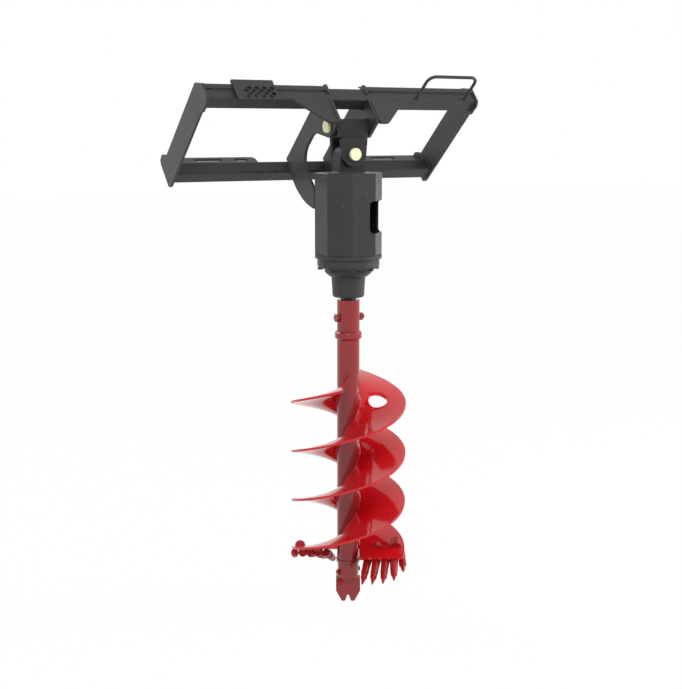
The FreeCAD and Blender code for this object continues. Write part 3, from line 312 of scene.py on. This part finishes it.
finishes = {
    "charcoalFrame": {"colour": (0.033, 0.0323, 0.0323), "scuff": (0.1, 0.098, 0.096), "scuffAmount": 0.35,
                      "cloud": 0.12, "rough": (0.36, 0.48), "bump": 0.25},
    "greyLatch": {"colour": (0.05, 0.05, 0.05), "scuff": (0.24, 0.24, 0.23), "scuffAmount": 0.4,
                  "cloud": 0.1, "rough": (0.38, 0.5), "bump": 0.2},
    "charcoalHood": {"colour": (0.031, 0.031, 0.0305), "scuff": (0.1, 0.1, 0.1), "scuffAmount": 0.25,
                     "cloud": 0.1, "rough": (0.3, 0.42), "bump": 0.25},
    "castCharcoal": {"colour": (0.032, 0.032, 0.0315), "scuff": (0.08, 0.08, 0.08), "scuffAmount": 0.3,
                     "cloud": 0.15, "rough": (0.4, 0.55), "bump": 0.5},
    "hangerDark": {"colour": (0.016, 0.0158, 0.0155), "scuff": (0.08, 0.08, 0.078), "scuffAmount": 0.4,
                   "cloud": 0.15, "rough": (0.38, 0.5), "bump": 0.35},
    "motorBlack": {"colour": (0.012, 0.012, 0.012), "scuff": (0.09, 0.09, 0.09), "scuffAmount": 0.3,
                   "cloud": 0.2, "rough": (0.35, 0.5), "bump": 0.4},
    "creamPin": {"colour": (0.93, 0.90, 0.58), "scuff": (0.6, 0.56, 0.36), "scuffAmount": 0.35,
                 "cloud": 0.06, "rough": (0.35, 0.5), "bump": 0.15},
    "zincBolt": {"colour": (0.42, 0.41, 0.38), "scuff": (0.2, 0.19, 0.17), "scuffAmount": 0.5,
                 "cloud": 0.1, "rough": (0.28, 0.42), "bump": 0.1, "metallic": 1.0},
    "bronzeBush": {"colour": (0.45, 0.3, 0.13), "scuff": (0.2, 0.12, 0.05), "scuffAmount": 0.4,
                   "cloud": 0.15, "rough": (0.25, 0.4), "bump": 0.1, "metallic": 1.0},
    "groundSteel": {"colour": (0.36, 0.36, 0.35), "scuff": (0.15, 0.14, 0.13), "scuffAmount": 0.5,
                    "cloud": 0.12, "rough": (0.22, 0.38), "bump": 0.1, "metallic": 1.0},
    "oiledShaft": {"colour": (0.03, 0.028, 0.028), "scuff": (0.1, 0.09, 0.08), "scuffAmount": 0.4,
                   "cloud": 0.2, "rough": (0.25, 0.4), "bump": 0.2, "metallic": 0.6},
    "sealRubber": {"colour": (0.015, 0.015, 0.015), "scuff": (0.05, 0.05, 0.05), "scuffAmount": 0.3,
                   "cloud": 0.2, "rough": (0.55, 0.7), "bump": 0.3},
    "augerRed": {"colour": (0.56, 0.005, 0.010), "scuff": (0.36, 0.03, 0.03), "scuffAmount": 0.25,
                 "cloud": 0.05, "rough": (0.07, 0.12), "bump": 0.04, "shine": 0.5},
    # the auger's red at its shadow tone: painted shade on the stem, collar, ring, bolt and pilot
    "stemRedPaintedShade": {"colour": (0.27, 0.008, 0.011), "scuff": (0.2, 0.03, 0.03), "scuffAmount": 0.25,
                "cloud": 0.06, "rough": (0.1, 0.18), "bump": 0.06, "shine": 0.6},
    "toothRed": {"colour": (0.36, 0.007, 0.01), "scuff": (0.2, 0.03, 0.03), "scuffAmount": 0.5,
                 "cloud": 0.14, "rough": (0.3, 0.45), "bump": 0.45}}
paints = {name: sprayPaint(name, look) for name, look in finishes.items()}

slotPaint = {"frame_paint": "charcoalFrame", "latch_paint": "greyLatch", "hanger_paint": "hangerDark",
             "hood_paint": "charcoalHood", "pin_plate": "creamPin", "bush_bronze": "bronzeBush",
             "gearbox_paint": "castCharcoal", "motor_paint": "motorBlack", "bolt_steel": "zincBolt",
             "gear_steel": "groundSteel", "seal_rubber": "sealRubber", "auger_paint": "augerRed",
             "tool_paint": "toothRed"}
for part in frame["record"]["subparts"]:
    for slot in nodes[part["node"]].material_slots:
        slot.material = paints[slotPaint[part["material_slot"]]]
for slot in nodes["output_shaft"].material_slots:
    slot.material = paints["oiledShaft"]
# stem, collar, ring, bolt and nut, pilot hub and pilot bit get the auger red at its shadow tone, as painted shade
for name in ("auger_collar", "auger_stem", "auger_ring", "auger_bolt_and_nut", "pilot_hub", "pilot_bit"):
    for slot in nodes[name].material_slots:
        slot.material = paints["stemRedPaintedShade"]
for name in ("cutting_edge_1", "cutting_edge_2"):
    for slot in nodes[name].material_slots:
        slot.material = paints["augerRed"]
for slot in nodes["upper_pin_spacers"].material_slots:
    slot.material = paints["hangerDark"]
print("finishes on the frame's nodes")


def pick(piece):
    bpy.ops.object.select_all(action="DESELECT")
    piece.select_set(True)
    bpy.context.view_layer.objects.active = piece


# leaves object mode with no vertex, edge or face selected
def clearPicks(piece, mode):
    pick(piece)
    bpy.ops.object.mode_set(mode="EDIT")
    bpy.ops.mesh.select_mode(type=mode)
    bpy.ops.mesh.select_all(action="DESELECT")
    bpy.ops.object.mode_set(mode="OBJECT")


def settle(piece):
    pick(piece)
    bpy.ops.object.transform_apply(location=True, rotation=True, scale=True)


def applyAll(piece):
    pick(piece)
    for modifier in list(piece.modifiers):
        bpy.ops.object.modifier_apply(modifier=modifier.name)


def joinAll(pieces, name):
    bpy.ops.object.select_all(action="DESELECT")
    for piece in pieces:
        piece.select_set(True)
    bpy.context.view_layer.objects.active = pieces[0]
    if len(pieces) > 1:
        bpy.ops.object.join()
    whole = bpy.context.object
    whole.name = name
    settle(whole)
    return whole


def finish(piece, paint, body):
    piece.data.materials.clear()
    piece.data.materials.append(paints[paint])
    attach(piece, body)


# the mounting frame leans forward: x across, y to the rear, z up from the top tube's front edge
leanedFrame = {"lean": 48, "depth": 0.111, "drop": 0.250}
leanPlace = (Matrix.Rotation(math.radians(leanedFrame["lean"]), 4, "X")
             @ Matrix.Translation((0, -leanedFrame["depth"], leanedFrame["drop"])))


def inFrame(x, y, z):
    return leanPlace @ Vector((x, y, z))


def fromPin(x, y, z):
    return Vector((x, y + pinY, z + pinZ))


# step tread: a sheet with rows of raised diamond holes on two side flanges
stepTread = {"width": 0.168, "middle": -0.391, "front": -0.015, "back": 0.080, "top": 0.012, "thick": 0.002,
             "columns": 11, "rows": 7, "plainColumns": 2, "plainRows": 2, "hole": 0.92, "rimWide": 0.03, "rimHigh": 0.04,
             "flange": 0.004}


def buildStep(look):
    deep = look["back"] - look["front"]
    middleY = (look["back"] + look["front"]) / 2
    columns = look["columns"]
    rows = look["rows"]
    bpy.ops.object.select_all(action="DESELECT")
    bpy.ops.mesh.primitive_grid_add(x_subdivisions=columns, y_subdivisions=rows, size=1)
    sheet = bpy.context.object
    sheet.scale = (columns, rows, 1)
    settle(sheet)
    clearPicks(sheet, "VERT")
    for vertex in sheet.data.vertices:
        column = round(vertex.co.x + columns / 2)
        row = round(vertex.co.y + rows / 2)
        inside = look["plainColumns"] < column < columns and 0 < row < rows - look["plainRows"]
        vertex.select = inside and (column + row) % 2 == 0
    bpy.ops.object.mode_set(mode="EDIT")
    bpy.ops.mesh.bevel(offset=look["hole"], offset_type="OFFSET", affect="VERTICES")
    bpy.ops.object.mode_set(mode="OBJECT")
    clearPicks(sheet, "FACE")
    diamond = 2 * look["hole"] ** 2
    for polygon in sheet.data.polygons:
        polygon.select = len(polygon.vertices) == 4 and abs(polygon.area - diamond) < 0.02
    bpy.ops.object.mode_set(mode="EDIT")
    bpy.ops.mesh.inset(thickness=look["rimWide"], depth=look["rimHigh"], use_individual=True)
    bpy.ops.mesh.delete(type="FACE")
    bpy.ops.object.mode_set(mode="OBJECT")
    sheet.scale = (look["width"] / columns, deep / rows, look["width"] / columns)
    sheet.location = (look["middle"], middleY, look["top"])
    settle(sheet)
    wall = sheet.modifiers.new("wall", "SOLIDIFY")
    wall.thickness = look["thick"]
    wall.offset = -1
    applyAll(sheet)
    flanges = []
    for side in (-1, 1):
        across = look["middle"] + side * (look["width"] - look["flange"]) / 2
        bpy.ops.object.select_all(action="DESELECT")
        bpy.ops.mesh.primitive_cube_add(size=1, location=(across, middleY, look["top"] / 2))
        flange = bpy.context.object
        flange.scale = (look["flange"], deep, look["top"] - 0.0004)
        settle(flange)
        rim = flange.modifiers.new("rim", "BEVEL")
        rim.width = 0.0006
        applyAll(flange)
        flanges.append(flange)
    step = joinAll([sheet] + flanges, "stepTread")
    step.matrix_world = leanPlace
    settle(step)
    finish(step, "charcoalFrame", frameBody)
    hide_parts("step_tread")


frameBody = "frame"
buildStep(stepTread)
print("step tread built")


# weld beads: a thin round run along each joint, with an uneven surface
weldLook = {"sides": 8, "pitch": 0.0035, "uneven": 0.0013, "grain": 0.0045}
weldRipple = bpy.data.textures.new("weldRipple", "CLOUDS")
weldRipple.noise_scale = weldLook["grain"]


def beadRun(start, end, radius):
    way = end - start
    bpy.ops.object.select_all(action="DESELECT")
    bpy.ops.mesh.primitive_cylinder_add(vertices=weldLook["sides"], radius=radius, depth=way.length,
                                        location=(start + end) / 2,
                                        rotation=way.to_track_quat("Z", "Y").to_euler())
    run = bpy.context.object
    mesh = run.data
    clearPicks(run, "EDGE")
    for edge in mesh.edges:
        low, high = (mesh.vertices[i].co for i in edge.vertices)
        edge.select = abs(high.z - low.z) > way.length / 2
    bpy.ops.object.mode_set(mode="EDIT")
    bpy.ops.mesh.subdivide(number_cuts=max(2, int(way.length / weldLook["pitch"])))
    bpy.ops.object.mode_set(mode="OBJECT")
    return run


def weld(name, runs, radius, body, paint="charcoalFrame"):
    bead = joinAll([beadRun(start, end, radius) for start, end in runs], name)
    ripple = bead.modifiers.new("ripple", "DISPLACE")
    ripple.texture = weldRipple
    ripple.texture_coords = "LOCAL"
    ripple.strength = weldLook["uneven"]
    applyAll(bead)
    pick(bead)
    bpy.ops.object.shade_smooth()
    finish(bead, paint, body)


# lines of the frame that the welds follow
frameLines = {"tubeEnd": 0.5825, "plateOuter": 0.090, "plateInner": 0.078, "topTube": 0.058, "bottomTube": 0.057,
              "bottomFront": 0.006, "bottomDrop": 0.423, "gussetReach": 0.114, "gussetLength": 0.153,
              "gussetThick": 0.010, "lipThick": 0.006, "lipStart": 0.042}


def buildFrameWelds(look):
    end = look["tubeEnd"] - 0.001
    bottomTop = -look["bottomDrop"]
    bottomLow = bottomTop - look["bottomTube"]
    bottomBack = look["bottomFront"] + look["bottomTube"]
    tubeEnds = []
    for side in (-1, 1):
        for low, high, front, back in ((-look["topTube"], 0, 0, look["topTube"]),
                                       (bottomLow, bottomTop, look["bottomFront"], bottomBack)):
            corners = [(front, high - 0.006), (front, low + 0.006), (front + 0.006, low), (back - 0.006, low)]
            tubeEnds.append((inFrame(side * end, *corners[0]), inFrame(side * end, *corners[1])))
            tubeEnds.append((inFrame(side * end, *corners[2]), inFrame(side * end, *corners[3])))
        tubeEnds.append((inFrame(side * end, look["bottomFront"] + 0.006, bottomTop),
                         inFrame(side * end, bottomBack - 0.006, bottomTop)))
    weld("tubeEndWelds", tubeEnds, 0.0038, frameBody)
    plates = []
    for side in (-1, 1):
        for face in (look["plateOuter"], look["plateInner"]):
            plates.append((inFrame(side * face, look["bottomFront"], bottomTop),
                           inFrame(side * face, bottomBack - 0.004, bottomTop)))
            plates.append((inFrame(side * face, 0.001, -look["topTube"]),
                           inFrame(side * face, look["topTube"], -look["topTube"])))
        plates.append((inFrame(side * look["plateOuter"], 0, -0.014),
                       inFrame(side * look["plateOuter"], 0, -look["topTube"])))
    weld("sidePlateWelds", plates, 0.0038, frameBody)
    gussets = []
    for side in (-1, 1):
        near = side * look["plateOuter"]
        far = side * (look["plateOuter"] + look["gussetLength"] - 0.006)
        gussets.append((inFrame(near, 0, -look["gussetThick"]), inFrame(far, 0, -look["gussetThick"])))
        gussets.append((inFrame(near, -0.006, -look["gussetThick"]),
                        inFrame(near, 0.006 - look["gussetReach"], -look["gussetThick"])))
        gussets.append((inFrame(near, -0.006, 0), inFrame(near, 0.008 - look["gussetReach"], 0)))
    weld("gussetWelds", gussets, 0.0034, frameBody)
    lips = [(inFrame(side * (look["plateOuter"] + 0.02), look["lipStart"], 0.0005),
             inFrame(side * (look["tubeEnd"] - 0.02), look["lipStart"], 0.0005)) for side in (-1, 1)]
    weld("lipWelds", lips, 0.0032, frameBody)


buildFrameWelds(frameLines)
print("frame welds built")


# hanger, tongue and roof, measured from the upper pin
hangerLines = {"cheekTop": -0.043, "cheekFace": 0.048, "blockFace": 0.030, "cheekHalf": 0.050, "roof": -0.175,
               "footHalf": 0.057, "footDeep": 0.0295, "blockHalf": 0.066}


def buildHangerWelds(look):
    runs = []
    for side in (-1, 1):
        runs.append((fromPin(-look["cheekHalf"], side * (look["blockFace"] + 0.001), look["cheekTop"]),
                     fromPin(look["cheekHalf"], side * (look["blockFace"] + 0.001), look["cheekTop"])))
    weld("cheekWelds", runs, 0.0036, "hanger", "hangerDark")
    foot = []
    for side in (-1, 1):
        foot.append((fromPin(-look["footHalf"], side * look["footDeep"], look["roof"]),
                     fromPin(look["footHalf"], side * look["footDeep"], look["roof"])))
        foot.append((fromPin(side * look["footHalf"], -look["footDeep"], look["roof"]),
                     fromPin(side * look["footHalf"], look["footDeep"], look["roof"])))
    weld("tongueWelds", foot, 0.0045, "drive", "charcoalHood")


buildHangerWelds(hangerLines)
print("hanger and tongue welds built")


# auger: the weld that follows each flight down the stem, above and below it
augerLines = {"stemRadius": 0.0448, "lead": 0.400, "sweep": 625, "start": -29.5, "flightBottom": -1.67994,
              "flightHalf": 0.00475, "bead": 0.0042, "stepAngle": 7.5}


def buildFlightWelds(look):
    steps = round(look["sweep"] / look["stepAngle"])
    beads = []
    for turn in (look["start"], look["start"] + 180):
        for face in (-1, 1):
            bpy.ops.object.select_all(action="DESELECT")
            bpy.ops.mesh.primitive_circle_add(vertices=8, radius=look["bead"], location=(look["stemRadius"], 0, 0),
                                              rotation=(math.pi / 2, 0, 0))
            bead = bpy.context.object
            settle(bead)
            sweep = bead.modifiers.new("sweep", "SCREW")
            sweep.angle = math.radians(look["sweep"])
            sweep.screw_offset = look["lead"] * look["sweep"] / 360
            sweep.steps = steps
            sweep.render_steps = steps
            applyAll(bead)
            bead.rotation_euler = (0, 0, math.radians(turn))
            bead.location = fromPin(0, 0, look["flightBottom"] + face * look["flightHalf"])
            settle(bead)
            bpy.ops.object.mode_set(mode="EDIT")
            bpy.ops.mesh.select_mode(type="EDGE")
            bpy.ops.mesh.select_all(action="DESELECT")
            bpy.ops.mesh.select_non_manifold()
            bpy.ops.mesh.fill()
            bpy.ops.mesh.select_all(action="SELECT")
            bpy.ops.mesh.normals_make_consistent(inside=False)
            bpy.ops.object.mode_set(mode="OBJECT")
            beads.append(bead)
    welds = joinAll(beads, "flightWelds")
    pick(welds)
    bpy.ops.object.shade_smooth()
    finish(welds, "augerRed", "output")


buildFlightWelds(augerLines)
print("flight welds built")


# tooth sockets: a stout tapered sleeve around each tooth, from the edge plate towards the tip
toothSockets = {"backs": (0.088, 0.122, 0.156, 0.186, 0.2165), "back": 0.004, "drop": 0.022,
                "tips": ((0.055, 0.141, 0.106), (0.094, 0.158, 0.099), (0.136, 0.168, 0.092),
                         (0.180, 0.166, 0.080), (0.220, 0.098, 0.069)),
                "from": 0.20, "to": 0.82, "wide": (0.0180, 0.0185, 0.0185, 0.0185, 0.0120), "narrow": 0.68,
                "rim": 0.0025}


def coneBetween(start, end, wide, narrow, rim, sides=20):
    way = end - start
    bpy.ops.object.select_all(action="DESELECT")
    bpy.ops.mesh.primitive_cone_add(vertices=sides, radius1=wide, radius2=narrow, depth=way.length,
                                    location=(start + end) / 2,
                                    rotation=way.to_track_quat("Z", "Y").to_euler())
    piece = bpy.context.object
    settle(piece)
    edge = piece.modifiers.new("edge", "BEVEL")
    edge.width = rim
    edge.segments = 2
    edge.limit_method = "ANGLE"
    applyAll(piece)
    return piece


def buildToothSockets(look):
    for number, turn in enumerate((augerLines["start"], augerLines["start"] + 180)):
        place = (Matrix.Translation(fromPin(0, 0, augerLines["flightBottom"]))
                 @ Matrix.Rotation(math.radians(turn), 4, "Z"))
        sockets = []
        for out, (radius, ahead, below), wide in zip(look["backs"], look["tips"], look["wide"]):
            back = Vector((out, look["back"], -look["drop"]))
            tip = Vector((radius, -ahead, -below))
            start = place @ back.lerp(tip, look["from"])
            end = place @ back.lerp(tip, look["to"])
            sockets.append(coneBetween(start, end, wide, wide * look["narrow"], look["rim"]))
        whole = joinAll(sockets, "toothSockets" + str(number + 1))
        pick(whole)
        bpy.ops.object.shade_smooth_by_angle(angle=math.radians(35))
        finish(whole, "toothRed", "output")


buildToothSockets(toothSockets)
print("tooth sockets built")


# bolts that hold the pilot: one in the hub's side, one through the blade
pilotBolts = {"hubOut": 0.0415, "hubDrop": -1.779, "bladeAcross": -0.032, "bladeFace": 0.015, "bladeDrop": -1.824,
              "head": 0.0108, "headHigh": 0.008, "washer": 0.0135, "washerHigh": 0.0025}


def boltHead(name, seat, way, look):
    parts = []
    for sides, radius, low, high in ((24, look["washer"], -0.001, look["washerHigh"]),
                                     (6, look["head"], look["washerHigh"] - 0.0005,
                                      look["washerHigh"] + look["headHigh"])):
        parts.append(coneBetween(seat + way * low, seat + way * high, radius, radius, 0.0008, sides))
    bolt = joinAll(parts, name)
    pick(bolt)
    bpy.ops.object.shade_smooth_by_angle(angle=math.radians(35))
    finish(bolt, "toothRed", "output")


def buildPilotBolts(look):
    along = Matrix.Rotation(math.radians(augerLines["start"]), 3, "Z") @ Vector((1, 0, 0))
    front = Matrix.Rotation(math.radians(augerLines["start"]), 3, "Z") @ Vector((0, -1, 0))
    boltHead("hubBolt", fromPin(-look["hubOut"], 0, look["hubDrop"]), Vector((-1, 0, 0)), look)
    boltHead("hubBoltRight", fromPin(look["hubOut"], 0, look["hubDrop"]), Vector((1, 0, 0)), look)
    middle = fromPin(0, 0, look["bladeDrop"]) + along * look["bladeAcross"]
    boltHead("bladeBolt", middle + front * look["bladeFace"], front, look)
    boltHead("bladeNut", middle - front * look["bladeFace"], -front, look)


buildPilotBolts(pilotBolts)
print("pilot bolts built")
